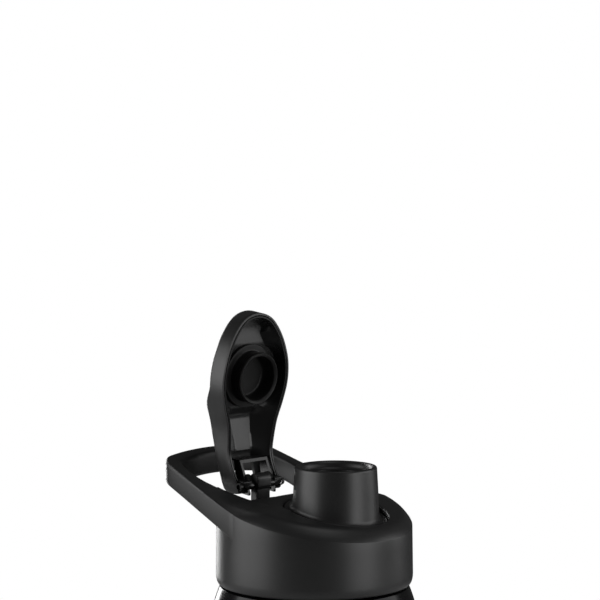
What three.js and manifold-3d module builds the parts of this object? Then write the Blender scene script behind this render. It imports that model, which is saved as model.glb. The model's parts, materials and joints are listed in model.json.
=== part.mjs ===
// Shaker bottle with a screw lid, a drinking spout, a carry loop and a flip cap that stands open.
// Millimetres, +Z up. The origin is the centre of the bottle's base, +Y is the side of the carry loop.
import * as THREE from 'three';
import { mergeVertices } from 'three/addons/utils/BufferGeometryUtils.js';
import Module from 'manifold-3d';

const wasm = await Module();
wasm.setup();

// ---- shared clearances
const gap = 0.3;                 // between pieces that touch
const overlap = 0.5;             // how far joined shapes run into each other
const sides = 64;                // of a large circle
const far = 200;                 // longer than any piece

// ---- lid casing
const lidRadius = 39;
const lidDraft = 0.3;            // the skirt narrows by this towards the deck
const lidWall = 1.8;
const skirtRound = { inward: 1.5, height: 4 };

// ---- screw thread
const pitch = 4;
const threadTurns = 1.5;
const threadDepth = 1.2;
const threadStart = 4.5;         // above the lid's lower edge
const threadClearance = 0.6;     // crest to root
const ridgeFoot = 1.1;           // half widths of a ridge
const ridgeCrest = 0.45;

// ---- liner and gasket
const linerWall = 2.1;
const linerThickness = 2;
const linerFootLift = 1.2;
const collarWall = 2.8;
const gasketThickness = 1.6;
const gasketWidth = 3.6;

// ---- bottle
const seatZ = 172;               // height of the lid's lower edge
const baseRadius = 34.5;
const bodyWall = 2.2;
const floorThickness = 3;
const baseCorner = 6;
const shoulderOut = 2.6;         // the shoulder stands out past the lid by this
const shoulderDrop = 1.0;        // from the lid's lower edge down to the shoulder
const coveIn = 1.4;              // the shoulder's top edge lies inside the lid by this
const neckWall = 2.4;
const neckHeight = 14.5;         // above the lid's lower edge
const neckRadius = lidRadius - lidWall - gap - linerWall - threadClearance - threadDepth;
const shoulderRadius = lidRadius + shoulderOut;
const coveRadius = lidRadius - coveIn;
const linerDepth = neckHeight + gasketThickness + 2 * gap;   // lower edge to underside of its plate
const plateTop = linerDepth + linerThickness;

// ---- deck, in heights above the lid's lower edge
const edgeHeight = plateTop + 10.3;   // deck's edge, at the lid's axis
const edgeSlope = 0.195;
const edgeBend = 0.0036;         // extra rise behind the axis
const bendEnd = 20;
const crownHeight = 4;           // deck above its own edge
const crownWidth = 5;            // over which the deck's edge rounds up to the crown
const crownFade = { start: -6, end: 14, low: 1 };

// ---- carry loop
const armTaper = 0.177;          // inward per millimetre of length
const armStart = 6.8;
const loopEnd = 61;              // outermost point of the end bar
const loopBow = 4;               // how much the end bar bows out
const loopCorner = 6;
const barThickness = 4.8;
const armUnder = { y: 12.75, z: edgeHeight - 6.5, slope: 0.34 };
const handHole = [[21.3, 14], [23, 18.7], [25, 25.2], [26.2, 34], [26.2, 42]];
const holeCorner = 4;
const dishFloor = edgeHeight - 1;     // floor of the hinge recess

// ---- spout
const spoutY = -11.6;
const spoutHeight = edgeHeight + 18.5;
const spoutRadius = 16.2;        // at the lip
const spoutFoot = spoutRadius + 0.8;
const spoutWall = 2.3;
const boreRadius = 11.35;
const lip = { radius: spoutRadius - 2, depth: 3.2, land: 3.5 };
const troughWidth = 3.6;
const troughDepth = 2;

// ---- hinge
const hingeY = 30.3;
const hingeHeight = edgeHeight + 6.8;
const pinRadius = 0.8;
const pinLength = 23;
const knuckle = { radius: 2.5, length: 7.9, rise: 2.2 };   // rounded tongue, risen above the pin
const post = { width: 7.6, thickness: 3.6 };
const openAngle = 83.5;          // degrees from shut to its stop

// ---- flip cap, measured from the pin: along its length, across it and up from the spout
const coverWall = 0.9;
const coverSkin = 1.1;
const trayWall = 0.7;
const spoutTop = spoutHeight - hingeHeight;
const trayFloor = spoutTop + 1.2;
const trayFloorThickness = 0.9;
const plugOffset = 0.4;          // beyond the spout's axis, towards the cap's tip
const plugAlong = hingeY - spoutY + plugOffset;
const bowl = spoutRadius + gap + trayWall + gap + coverWall;  // half width over the spout
const neckSide = [[12.4, 0], [12.6, 7], [13.0, 15], [14.1, 23.5]];
const bowlSide = [[0.9, -0.61], [0.995, -0.23], [1.005, 0.12],
  [0.924, 0.53], [0.728, 0.96], [0.413, 1.31]];
const bowlTip = 1.43;            // shares of the bowl's half width, like the points above
const heelEnd = -4.8;
const heelCorner = 4.5;
const heelFront = -2.8;          // the heel's end level with the pin, from where it slants
const heelSlant = 0.25;
const rim = { height: 7.2, start: -1, end: 14, bend: 48, tip: 8.6 };
const top = { height: trayFloor + 5.6, heel: 8.3, end: 30, low: trayFloor + 2.5, lowFrom: 40 };
const neckFloor = { end: 26, slope: 0.3 };    // the tray's floor drops towards the heel
const windowPlay = 2.65;         // from the knuckle's end to the side of the hinge window
const hingeWindow = { half: knuckle.length / 2 + windowPlay, end: 8.4, border: 1.1, slope: 0.54 };
const bossRadius = pinRadius + gap + 0.5;
const ear = { reach: 3.5, lean: 0.75 };       // from the pin, and radians up from the cap's length
const earPlay = 0.35;            // from the knuckle's end to the ears

// ---- stopper
const plugRadius = boreRadius - 0.75;
const plugWall = 1.7;
const plugDepth = 6.4;           // below the spout's top when shut
const plugFlange = { radius: lip.radius - 1.2, thickness: 1.2 };
const plugStem = 3.0;
const plugBead = 0.4;

// ---- mixing ball
const ballRadius = 22;
const wireRadius = 1.1;
const ballTurns = 9;
const ballPole = 0.19;           // radians from the pole where the wire starts and ends

const satinBlack = new THREE.MeshStandardMaterial({ color: 0x1b1c1d, roughness: 0.48, metalness: 0 });
const glossBlack = new THREE.MeshStandardMaterial({ color: 0x0b0b0c, roughness: 0.15, metalness: 0 });
const innerBlack = new THREE.MeshStandardMaterial({ color: 0x202122, roughness: 0.55, metalness: 0 });
const silicone = new THREE.MeshStandardMaterial({ color: 0x101011, roughness: 0.7, metalness: 0 });
const steel = new THREE.MeshStandardMaterial({ color: 0xb9bcc0, roughness: 0.25, metalness: 1 });

// ---------- solids ----------
function solid(geometry) {
  const bare = geometry.clone();
  bare.deleteAttribute('normal');
  bare.deleteAttribute('uv');
  const merged = mergeVertices(bare, 1e-4);
  return new wasm.Manifold(new wasm.Mesh({
    numProp: 3,
    vertProperties: new Float32Array(merged.attributes.position.array),
    triVerts: new Uint32Array(merged.index.array),
  }));
}

function geometryOf(manifold) {
  const mesh = manifold.getMesh();
  const geometry = new THREE.BufferGeometry();
  geometry.setAttribute('position', new THREE.BufferAttribute(new Float32Array(mesh.vertProperties), 3));
  geometry.setIndex(new THREE.BufferAttribute(new Uint32Array(mesh.triVerts), 1));
  geometry.computeVertexNormals();
  return geometry;
}

function named(name, geometry, material) {
  const mesh = new THREE.Mesh(geometry, material);
  mesh.name = name;
  return mesh;
}

// A turned solid about +Z from [radius, height] pairs.
function turned(profile, segments = sides) {
  const points = profile.map(([r, z]) => new THREE.Vector2(r, z));
  return new THREE.LatheGeometry(points, segments).rotateX(Math.PI / 2);
}

function moveVertices(geometry, change) {
  const position = geometry.attributes.position;
  const point = new THREE.Vector3();
  for (let i = 0; i < position.count; i += 1) {
    point.fromBufferAttribute(position, i);
    change(point);
    position.setXYZ(i, point.x, point.y, point.z);
  }
  return geometry;
}

function box([x0, x1], [y0, y1], [z0, z1], segments = [1, 1, 1]) {
  return new THREE.BoxGeometry(x1 - x0, y1 - y0, z1 - z0, ...segments)
    .translate((x0 + x1) / 2, (y0 + y1) / 2, (z0 + z1) / 2);
}

function rod(radius, length, segments = 32) {
  return new THREE.CylinderGeometry(radius, radius, length, segments);
}

// A ridge with a trapezoid section that winds up a cylinder; outward is 1 or -1.
function threadRidge(radius, outward, lowZ) {
  const section = new THREE.Shape([
    new THREE.Vector2(-overlap, -ridgeFoot),
    new THREE.Vector2(threadDepth, -ridgeCrest),
    new THREE.Vector2(threadDepth, ridgeCrest),
    new THREE.Vector2(-overlap, ridgeFoot),
  ]);
  const sweep = threadTurns * 2 * Math.PI;
  const runOut = Math.PI / 8;
  const ridge = new THREE.ExtrudeGeometry(section, {
    depth: sweep, steps: Math.round(threadTurns * sides / 2), bevelEnabled: false,
  });
  return moveVertices(ridge, (p) => {
    const along = p.z;
    const fade = Math.min(1, along / runOut, (sweep - along) / runOut);
    const distance = radius + outward * (p.x > 0 ? p.x * fade : p.x);
    const angle = -outward * along;
    const rise = outward > 0 ? sweep - along : along;
    const height = lowZ + p.y + pitch * rise / (2 * Math.PI);
    p.set(distance * Math.cos(angle), distance * Math.sin(angle), height);
  });
}

// ---------- lid surfaces, in heights above the lid's lower edge ----------
function edgeAt(y) {
  const behind = Math.max(0, y);
  const bent = Math.min(behind, bendEnd);
  return edgeHeight + edgeSlope * y + edgeBend * bent * bent + 2 * edgeBend * bendEnd * (behind - bent);
}

function crownAt(x, y) {
  const inward = Math.min(1, Math.max(0, (lidRadius - Math.hypot(x, y)) / crownWidth));
  const back = Math.min(1, Math.max(0, (y - crownFade.start) / (crownFade.end - crownFade.start)));
  return (crownHeight + (crownFade.low - crownHeight) * back) * Math.sin(inward * Math.PI / 2);
}

function deckAt(x, y) {
  return edgeAt(y) + crownAt(x, y);
}

// ---------- bottle ----------
function bottleBody() {
  const top = seatZ + neckHeight;
  const shoulderZ = seatZ - shoulderDrop;
  const outer = new THREE.Shape();
  outer.moveTo(0, 0);
  outer.lineTo(baseRadius - baseCorner, 0);
  outer.quadraticCurveTo(baseRadius, 0, baseRadius, baseCorner);
  outer.bezierCurveTo(baseRadius + 0.8, seatZ * 0.28, shoulderRadius, seatZ * 0.62,
    shoulderRadius, seatZ - 22);
  outer.bezierCurveTo(shoulderRadius, seatZ - 12, coveRadius + 2, seatZ - 6.5, coveRadius, shoulderZ);
  outer.lineTo(neckRadius, shoulderZ + 0.4);
  outer.lineTo(neckRadius, top - 0.6);
  outer.lineTo(neckRadius - 0.6, top);
  const rim = neckRadius - neckWall;
  outer.lineTo(rim + 0.6, top);
  outer.lineTo(rim, top - 0.6);
  outer.lineTo(rim, shoulderZ - 4);
  const inner = shoulderRadius - bodyWall;
  outer.bezierCurveTo(rim, seatZ - 11, inner, seatZ - 12, inner, seatZ - 24);
  const innerBase = baseRadius - bodyWall;
  outer.bezierCurveTo(inner, seatZ * 0.62, innerBase + 0.8, seatZ * 0.28,
    innerBase, baseCorner + floorThickness);
  outer.quadraticCurveTo(innerBase, floorThickness, innerBase - baseCorner, floorThickness);
  outer.lineTo(0, floorThickness);
  const profile = outer.getPoints(4).map((p) => [Math.max(0, p.x), p.y]);
  const ridge = threadRidge(neckRadius, 1, seatZ + threadStart);
  return solid(turned(profile)).add(solid(ridge));
}

// ---------- lid casing ----------
function skirtSolid() {
  const { inward, height } = skirtRound;
  const rings = [0, 0.2, 0.4, 0.6, 0.8].map((step) => lidRadius - lidDraft - step * crownWidth);
  const profile = [[0, 0], [lidRadius - inward, 0], [lidRadius - inward * 0.35, height * 0.35],
    [lidRadius, height], ...rings.map((r) => [r, far]), [lidRadius - 6, far], [lidRadius - 12, far],
    [lidRadius - 19, far], [lidRadius - 28, far], [0, far]];
  return moveVertices(turned(profile), (p) => {
    if (p.z > far / 2) p.z = deckAt(p.x * lidRadius / (lidRadius - lidDraft), p.y);
  });
}

function armX(y) {
  return lidRadius * Math.cos(Math.atan(armTaper)) - armTaper * (y - armStart);
}

// The loop seen from above: straight arms, rounded corners and a bowed end bar.
function loopOutline() {
  const cornerY = loopEnd - loopBow;
  const corner = armX(cornerY);
  const side = loopCorner;
  const outline = new THREE.Shape();
  outline.moveTo(-armX(armStart), armStart);
  outline.lineTo(-armX(cornerY - side), cornerY - side);
  outline.quadraticCurveTo(-corner, cornerY, -corner + side, cornerY + loopBow * 0.35);
  outline.quadraticCurveTo(0, loopEnd + loopBow * 0.75, corner - side, cornerY + loopBow * 0.35);
  outline.quadraticCurveTo(corner, cornerY, armX(cornerY - side), cornerY - side);
  outline.lineTo(armX(armStart), armStart);
  return outline;
}

function handHoleOutline() {
  const [lastX, lastY] = handHole[handHole.length - 1];
  const innerEnd = loopEnd - barThickness;
  const outline = new THREE.Shape();
  outline.moveTo(-handHole[0][0], handHole[0][1]);
  handHole.slice(1).forEach(([x, y]) => outline.lineTo(-x, y));
  const cornerX = Math.min(lastX, armX(innerEnd) - barThickness);
  outline.lineTo(-cornerX, innerEnd - loopBow - holeCorner);
  outline.quadraticCurveTo(-cornerX, innerEnd - loopBow, -cornerX + holeCorner, innerEnd - loopBow * 0.8);
  outline.quadraticCurveTo(0, innerEnd + loopBow * 0.8, cornerX - holeCorner, innerEnd - loopBow * 0.8);
  outline.quadraticCurveTo(cornerX, innerEnd - loopBow, cornerX, innerEnd - loopBow - holeCorner);
  outline.lineTo(lastX, lastY);
  handHole.slice(0, -1).reverse().forEach(([x, y]) => outline.lineTo(x, y));
  return outline;
}

function extruded(shape, z0, z1, curveSegments = 8) {
  return new THREE.ExtrudeGeometry(shape, { depth: z1 - z0, bevelEnabled: false, curveSegments })
    .translate(0, 0, z0);
}

function loopSolid() {
  const reach = loopEnd + 20;
  const above = box([-far, far], [-reach, reach], [0, far], [1, 40, 1]);
  moveVertices(above, (p) => { if (p.z < far / 2) p.z = edgeAt(p.y); });
  const below = box([-far, far], [-reach, reach], [-far, 0]);
  moveVertices(below, (p) => {
    if (p.z > -far / 2) p.z = armUnder.z + armUnder.slope * (p.y - armUnder.y);
  });
  return solid(extruded(loopOutline(), 0, far / 2))
    .subtract(solid(extruded(handHoleOutline(), -1, far)))
    .subtract(solid(above))
    .subtract(solid(below));
}

function hingePost() {
  const { radius, length, rise } = knuckle;
  const low = rod(radius, length).rotateZ(Math.PI / 2).translate(0, hingeY, hingeHeight);
  const high = low.clone().translate(0, 0, rise);
  const between = box([-length / 2, length / 2], [hingeY - radius, hingeY + radius],
    [hingeHeight, hingeHeight + rise]);
  const stem = box([-post.width / 2, post.width / 2],
    [hingeY - post.thickness / 2, hingeY + post.thickness / 2], [dishFloor - overlap, hingeHeight]);
  const hole = rod(pinRadius + gap, length * 2).rotateZ(Math.PI / 2).translate(0, hingeY, hingeHeight);
  return solid(low).add(solid(high)).add(solid(between)).add(solid(stem)).subtract(solid(hole));
}

function lidShell() {
  const cavityRadius = lidRadius - lidWall;
  const roof = moveVertices(turned([[0, -1], [cavityRadius, -1], [cavityRadius, far], [lidRadius - 6, far],
    [lidRadius - 14, far], [lidRadius - 25, far], [0, far]]), (p) => {
    if (p.z > far / 2) p.z = Math.min(deckAt(p.x, p.y), deckAt(p.x * 0.96, p.y * 0.96)) - lidWall - 0.4;
  });
  const keep = box([-far, far], [handHole[0][1] - lidWall, far], [dishFloor - lidWall, far]);
  const cavity = solid(roof).subtract(solid(keep));
  const dish = extruded(handHoleOutline(), dishFloor, far);
  const spoutHole = rod(spoutFoot + troughWidth, far, sides).rotateX(Math.PI / 2)
    .translate(0, spoutY, far / 2 + 5);
  return solid(skirtSolid())
    .add(loopSolid())
    .subtract(solid(dish))
    .subtract(cavity)
    .subtract(solid(spoutHole))
    .add(hingePost())
    .translate([0, 0, seatZ]);
}

// ---------- liner with the spout ----------
function lidLiner() {
  const outside = lidRadius - lidWall - gap;
  const root = neckRadius + threadDepth + threadClearance;
  const cup = turned([[0, linerFootLift], [outside - 0.8, linerFootLift], [outside, linerFootLift + 0.8],
    [outside, plateTop], [0, plateTop]]);
  const hollow = turned([[0, 0], [root, 0], [root, linerDepth], [0, linerDepth]]);
  const inStep = (threadTurns - 0.5) % 1;      // sets the ridge midway between the neck's ridges
  const ridge = threadRidge(root, -1, threadStart + pitch * inStep);
  const collarRadius = spoutFoot + troughWidth - gap;
  const collarTop = edgeAt(spoutY) + crownHeight - troughDepth;
  const landTop = spoutHeight - lip.depth;
  const landBottom = landTop - lip.land;
  const outer = turned([[0, linerDepth], [spoutFoot, linerDepth], [spoutFoot, collarTop],
    [spoutRadius, spoutHeight - 0.8], [spoutRadius - 0.6, spoutHeight], [0, spoutHeight]]);
  const inside = spoutFoot - spoutWall;
  const dishMiddle = (boreRadius + lip.radius) / 2 - 0.3;
  const bore = turned([[0, linerDepth - 1], [inside, linerDepth - 1], [inside - 0.5, landBottom - 3.5],
    [boreRadius, landBottom], [boreRadius, landTop], [dishMiddle, landTop + lip.depth * 0.3],
    [lip.radius - 0.4, spoutHeight - lip.depth * 0.35], [lip.radius, spoutHeight],
    [lip.radius, spoutHeight + 1], [0, spoutHeight + 1]]);
  return solid(cup)
    .subtract(solid(hollow))
    .add(solid(ridge))
    .add(tiltedDrum(collarRadius, linerDepth, collarTop))
    .subtract(tiltedDrum(collarRadius - collarWall, linerDepth - 1, collarTop - linerThickness))
    .add(solid(outer).translate([0, spoutY, 0]))
    .subtract(solid(bore).translate([0, spoutY, 0]))
    .translate([0, 0, seatZ]);
}

// A drum about the spout's axis whose top runs parallel to the deck.
function tiltedDrum(radius, bottom, topHeight) {
  const drum = turned([[0, bottom], [radius, bottom], [radius, far], [0, far]]);
  moveVertices(drum, (p) => { if (p.z > far / 2) p.z = topHeight + edgeSlope * p.y; });
  return solid(drum).translate([0, spoutY, 0]);
}

function lidGasket() {
  const inner = neckRadius - neckWall - 0.2;
  const low = seatZ + neckHeight + gap;
  const high = low + gasketThickness;
  const outer = inner + gasketWidth;
  return solid(turned([[inner, low], [outer, low], [outer, high], [inner, high], [inner, low]]));
}

// ---------- flip cap, built shut about its pin: x across, y along, z up ----------
const flipSide = [...neckSide, ...bowlSide.map(([v, u]) => [v * bowl, plugAlong + u * bowl])];
const flipLength = plugAlong + bowlTip * bowl;

function rimAt(u) {
  const rise = Math.min(1, Math.max(0, (u - rim.start) / (rim.end - rim.start)));
  const lift = Math.max(0, (u - rim.bend) / (flipLength - rim.bend));
  return rim.height * Math.sin(rise * Math.PI / 2) + (rim.tip - rim.height) * lift;
}

function topAt(u) {
  const rise = Math.min(1, Math.max(0, (u - heelEnd) / (top.end - heelEnd)));
  const fall = Math.min(1, Math.max(0, (u - top.end) / (top.lowFrom - top.end)));
  const drop = (top.height - top.low) * fall * fall * (3 - 2 * fall);
  return top.heel + (top.height - top.heel) * Math.sin(rise * Math.PI / 2) - drop;
}

// The cap seen from above, moved inward by inset.
function flipPlan(inset) {
  const tipSide = flipSide.at(-1);
  const side = new THREE.SplineCurve([...flipSide, [0, flipLength], [-tipSide[0], tipSide[1]]]
    .map(([v, u]) => new THREE.Vector2(v, u)));
  const last = flipSide.length / (flipSide.length + 1);
  const steps = 26;
  const right = [];
  for (let i = 0; i <= steps; i += 1) {
    const t = last * i / steps;
    const point = side.getPoint(t);
    const along = side.getTangent(t);
    right.push([point.x - inset * along.y, point.y + inset * along.x]);
  }
  right[steps][0] = 0;
  const low = heelEnd + inset;
  const wide = flipSide[0][0] - inset;
  const shape = new THREE.Shape();
  shape.moveTo(-wide + heelCorner, low);
  shape.lineTo(wide - heelCorner, low);
  shape.quadraticCurveTo(wide, low, wide, low + heelCorner);
  right.forEach(([v, u]) => shape.lineTo(v, u));
  right.slice(0, -1).reverse().forEach(([v, u]) => shape.lineTo(-v, u));
  shape.lineTo(-wide, low + heelCorner);
  shape.quadraticCurveTo(-wide, low, -wide + heelCorner, low);
  return shape;
}

// A slab over the cap's plan with a curved face at height(u); it fills the space above or below it.
function slab(height, above) {
  const width = 2 * bowl;
  const heights = above ? [0, far] : [-far, 0];
  const block = box([-width, width], [heelEnd - 5, flipLength + 5], heights, [1, 36, 1]);
  return solid(moveVertices(block, (p) => { if (Math.abs(p.z) < far / 2) p.z = height(p.y); }));
}

function flipColumn(inset) {
  return solid(extruded(flipPlan(inset), -far / 4, far / 4, 4));
}

// What the slanted heel leaves free.
function heelTrim(inset) {
  const wedge = box([-far / 4, far / 4], [-far / 4, 0], [-far / 4, far / 4]);
  return solid(moveVertices(wedge, (p) => { if (p.y > -1) p.y = heelFront + inset - heelSlant * p.z; }));
}

function flipBlock(inset, low, high) {
  return flipColumn(inset)
    .subtract(slab(low, false))
    .subtract(slab(high, true))
    .subtract(heelTrim(inset));
}

function pinHole() {
  return solid(rod(pinRadius + gap, 2 * flipSide[0][0] + 10, 16).rotateZ(Math.PI / 2));
}

function hingeWindowCut() {
  const { half, end } = hingeWindow;
  return solid(box([-half, half], [heelEnd - 10, end], [-far / 4, far / 4]));
}

function earDisc(radius, from, to) {
  const disc = rod(radius, to - from, 24).rotateZ(Math.PI / 2).translate((from + to) / 2, 0, 0);
  return solid(disc).add(solid(disc.clone().rotateY(Math.PI)));
}

function flipCover() {
  const wallInside = flipSide[0][0] - coverWall;
  const shell = flipBlock(0, rimAt, topAt)
    .subtract(flipBlock(coverWall, () => -far / 5, (u) => topAt(u) - coverSkin));
  return shell
    .add(earDisc(bossRadius, wallInside, flipSide[0][0]).intersect(flipColumn(0)))
    .subtract(hingeWindowCut())
    .subtract(pinHole());
}

function trayFloorAt(u) {
  return trayFloor - neckFloor.slope * Math.max(0, neckFloor.end - u);
}

// The ears that hold the pin on either side of the knuckle, slanting up from it.
function ears(from, to) {
  return [[from, to], [-to, -from]].map(([low, high]) => {
    const tab = box([low, high], [0, ear.reach], [-bossRadius, bossRadius]);
    const end = rod(bossRadius, high - low, 24).rotateZ(Math.PI / 2)
      .translate((low + high) / 2, ear.reach, 0);
    return solid(tab.rotateX(ear.lean)).add(solid(end.rotateX(ear.lean)));
  }).reduce((all, one) => all.add(one), earDisc(bossRadius, from, to));
}

function flipFrame() {
  const inset = coverWall + gap;
  const ceiling = (u) => trayFloorAt(u) + trayFloorThickness;
  const { half, end, border, slope } = hingeWindow;
  const tray = flipBlock(inset, rimAt, ceiling)
    .subtract(flipBlock(inset + trayWall, () => -far / 5, trayFloorAt));
  const frame = box([-half - border, half + border], [heelEnd - 5, end + border], [-bossRadius, far / 4]);
  const edging = solid(frame)
    .intersect(flipColumn(inset))
    .subtract(heelTrim(inset))
    .subtract(slab((u) => slope * u, false))
    .subtract(slab(ceiling, true));
  const earInside = flipSide[0][0] - inset;
  return tray
    .add(edging)
    .add(earDisc(bossRadius, half, earInside).intersect(flipColumn(inset)).subtract(heelTrim(inset)))
    .subtract(hingeWindowCut())
    .add(ears(knuckle.length / 2 + earPlay, half + overlap))
    .subtract(pinHole())
    .subtract(solid(rod(plugStem + gap, far).rotateX(Math.PI / 2)).translate([0, plugAlong, 0]));
}

function spoutPlug() {
  const flangeTop = trayFloor - gap;
  const flangeLow = flangeTop - plugFlange.thickness;
  const inner = plugRadius - plugWall;
  const plugLip = spoutTop - plugDepth;
  return turned([[0, flangeLow - 0.4], [inner, flangeLow - 0.4], [inner, plugLip + plugBead],
    [inner + plugBead, plugLip], [plugRadius - plugBead, plugLip],
    [plugRadius, plugLip + plugBead], [plugRadius + 0.2, flangeLow],
    [plugFlange.radius, flangeLow], [plugFlange.radius, flangeTop], [plugStem, flangeTop],
    [plugStem, trayFloor + trayFloorThickness], [0, trayFloor + trayFloorThickness]], 48)
    .translate(0, plugAlong, 0);
}

// ---------- mixing ball ----------
// Wire wound on a sphere from near one pole to near the other.
class BallCurve extends THREE.Curve {
  getPoint(t) {
    const polar = ballPole + (Math.PI - 2 * ballPole) * t;
    const turn = 2 * Math.PI * ballTurns * t;
    const around = Math.sin(polar);
    return new THREE.Vector3(around * Math.cos(turn), around * Math.sin(turn), -Math.cos(polar))
      .multiplyScalar(ballRadius - wireRadius);
  }
}

function mixerBall() {
  const section = new THREE.Shape();
  section.absarc(0, 0, wireRadius, 0, 2 * Math.PI);
  const ball = new THREE.ExtrudeGeometry(section, {
    steps: ballTurns * 20, curveSegments: 3, extrudePath: new BallCurve(), bevelEnabled: false,
  });
  ball.computeBoundingBox();
  return ball.translate(0, 0, floorThickness + gap - ball.boundingBox.min.z);
}

// ---------- assembly ----------
const bottle = new THREE.Group();
bottle.add(
  named('bottle_body', geometryOf(bottleBody()), glossBlack),
  named('lid_shell', geometryOf(lidShell()), satinBlack),
  named('lid_liner', geometryOf(lidLiner()), innerBlack),
  named('lid_gasket', geometryOf(lidGasket()), silicone),
  named('mixer_ball', mixerBall(), steel),
);

const shut = new THREE.Group();
shut.rotation.z = Math.PI;
shut.add(
  named('flip_cover', geometryOf(flipCover()), satinBlack),
  named('flip_frame', geometryOf(flipFrame()), innerBlack),
  named('spout_plug', spoutPlug(), silicone),
  named('hinge_pin', rod(pinRadius, pinLength, 24).rotateZ(Math.PI / 2), steel),
);

const flip = new THREE.Group();
flip.position.set(0, hingeY, seatZ + hingeHeight);
flip.rotation.x = -openAngle * Math.PI / 180;
flip.add(shut);
bottle.add(flip);

export default bottle;
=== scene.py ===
import json
import math
import bmesh
import bpy
from mathutils import Matrix, Vector


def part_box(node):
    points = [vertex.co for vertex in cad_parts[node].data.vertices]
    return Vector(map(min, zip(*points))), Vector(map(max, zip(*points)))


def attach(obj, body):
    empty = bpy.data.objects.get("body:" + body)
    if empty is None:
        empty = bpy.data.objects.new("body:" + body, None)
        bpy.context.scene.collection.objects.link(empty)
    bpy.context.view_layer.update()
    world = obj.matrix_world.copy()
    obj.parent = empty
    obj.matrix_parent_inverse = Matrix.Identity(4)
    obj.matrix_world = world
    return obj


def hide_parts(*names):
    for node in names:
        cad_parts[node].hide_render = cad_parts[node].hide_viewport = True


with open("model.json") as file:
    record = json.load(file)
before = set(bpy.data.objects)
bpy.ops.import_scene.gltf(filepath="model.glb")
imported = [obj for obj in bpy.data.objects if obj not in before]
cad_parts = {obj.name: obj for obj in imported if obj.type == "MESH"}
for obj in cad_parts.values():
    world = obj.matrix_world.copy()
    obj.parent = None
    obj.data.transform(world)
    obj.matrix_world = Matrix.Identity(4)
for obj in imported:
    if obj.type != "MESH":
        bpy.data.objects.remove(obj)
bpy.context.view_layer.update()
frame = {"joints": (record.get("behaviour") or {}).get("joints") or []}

mm = 0.001  # every length below is in millimetres until a mesh is placed
weld = 0.004 * mm  # points nearer than this are merged


def corners(node):  # lowest and highest corner of a CAD node
    low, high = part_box(node)
    return low / mm, high / mm


lidLow, lidHigh = corners("lid_shell")
bodyHigh = corners("bottle_body")[1]
seatZ = lidLow.z  # the lid's lower edge
hinge = next(joint for joint in frame["joints"] if joint["name"] == "flip_hinge")
hingeY, hingeZ = (value / mm for value in hinge["pos_m"][1:])
openAngle = math.radians(hinge["range_deg"][1])


def deselectAll():
    if bpy.context.object and bpy.context.object.mode == "EDIT":
        bpy.ops.object.mode_set(mode="OBJECT")
    bpy.ops.object.select_all(action="DESELECT")


def makeActive(piece):
    deselectAll()
    piece.select_set(True)
    bpy.context.view_layer.objects.active = piece


def startPiece(name, addPrimitive, **settings):  # in edit mode, with everything selected
    deselectAll()
    addPrimitive(**settings)
    piece = bpy.context.object
    piece.name = name
    bpy.ops.object.mode_set(mode="EDIT")
    selectAll()
    return piece


def selectAll():
    bpy.ops.mesh.select_all(action="SELECT")


def moveRing(piece, ring):  # the selected points go to the ring's places, in order
    mesh = bmesh.from_edit_mesh(piece.data)
    chosen = [vertex for vertex in mesh.verts if vertex.select]
    for vertex, place in zip(chosen, ring, strict=True):
        vertex.co = Vector(place) * mm
    bmesh.update_edit_mesh(piece.data)


def tidyMesh():
    selectAll()
    bpy.ops.mesh.remove_doubles(threshold=weld)
    bpy.ops.mesh.dissolve_degenerate(threshold=weld)
    selectAll()
    bpy.ops.mesh.normals_make_consistent(inside=False)


def loft(name, rings, closed=False, capped=False):
    # a circle is shaped into the first ring and extruded from ring to ring
    piece = startPiece(name, bpy.ops.mesh.primitive_circle_add, vertices=len(rings[0]), radius=1)
    piece.data.name = name
    moveRing(piece, rings[0])
    for ring in rings[1:] + (rings[:1] if closed else []):
        bpy.ops.mesh.extrude_region_move()
        moveRing(piece, ring)
    if capped:
        bpy.ops.mesh.edge_face_add()
        bpy.ops.mesh.select_all(action="DESELECT")
        bpy.ops.mesh.select_non_manifold()
        bpy.ops.mesh.edge_face_add()
    tidyMesh()
    bpy.ops.object.mode_set(mode="OBJECT")
    return piece


def clamp(value):
    return min(1.0, max(0.0, value))


def quarterTurn(steps):  # sines and cosines from 0 to 90 degrees
    turns = [step / steps * math.pi / 2 for step in range(steps + 1)]
    return [(math.sin(turn), math.cos(turn)) for turn in turns]


def rounded(profile, steps=4):
    # corners given as (across, up, fillet) become short curves
    points = []
    count = len(profile)
    for index, (across, up, fillet) in enumerate(profile):
        corner = Vector((across, up))
        if fillet == 0:
            points.append(corner)
            continue
        before = Vector(profile[index - 1][:2]) - corner
        after = Vector(profile[(index + 1) % count][:2]) - corner
        start = corner + before.normalized() * min(fillet, before.length * 0.49)
        end = corner + after.normalized() * min(fillet, after.length * 0.49)
        for step in range(steps + 1):
            t = step / steps
            points.append(start * (1 - t) ** 2 + corner * 2 * t * (1 - t) + end * t * t)
    return [(point.x, point.y) for point in points]


def bezier(start, first, second, end, steps):
    points = []
    for step in range(1, steps + 1):
        t = step / steps
        s = 1 - t
        shares = (s ** 3, 3 * s * s * t, 3 * s * t * t, t ** 3)
        points.append(tuple(
            sum(share * point[axis] for share, point in zip(shares, (start, first, second, end)))
            for axis in (0, 1)
        ))
    return points


def circle(radius, height, centreY=0.0, sides=144, lift=0.0):
    ring = []
    for step in range(sides):
        angle = 2 * math.pi * step / sides
        x = radius * math.cos(angle)
        y = centreY + radius * math.sin(angle)
        ring.append((x, y, lift + (height(x, y) if callable(height) else height)))
    return ring


def turned(name, profile, centreY=0.0, sides=144, closed=False):
    return loft(name, [circle(radius, height, centreY, sides) for radius, height in profile], closed=closed)


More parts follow.
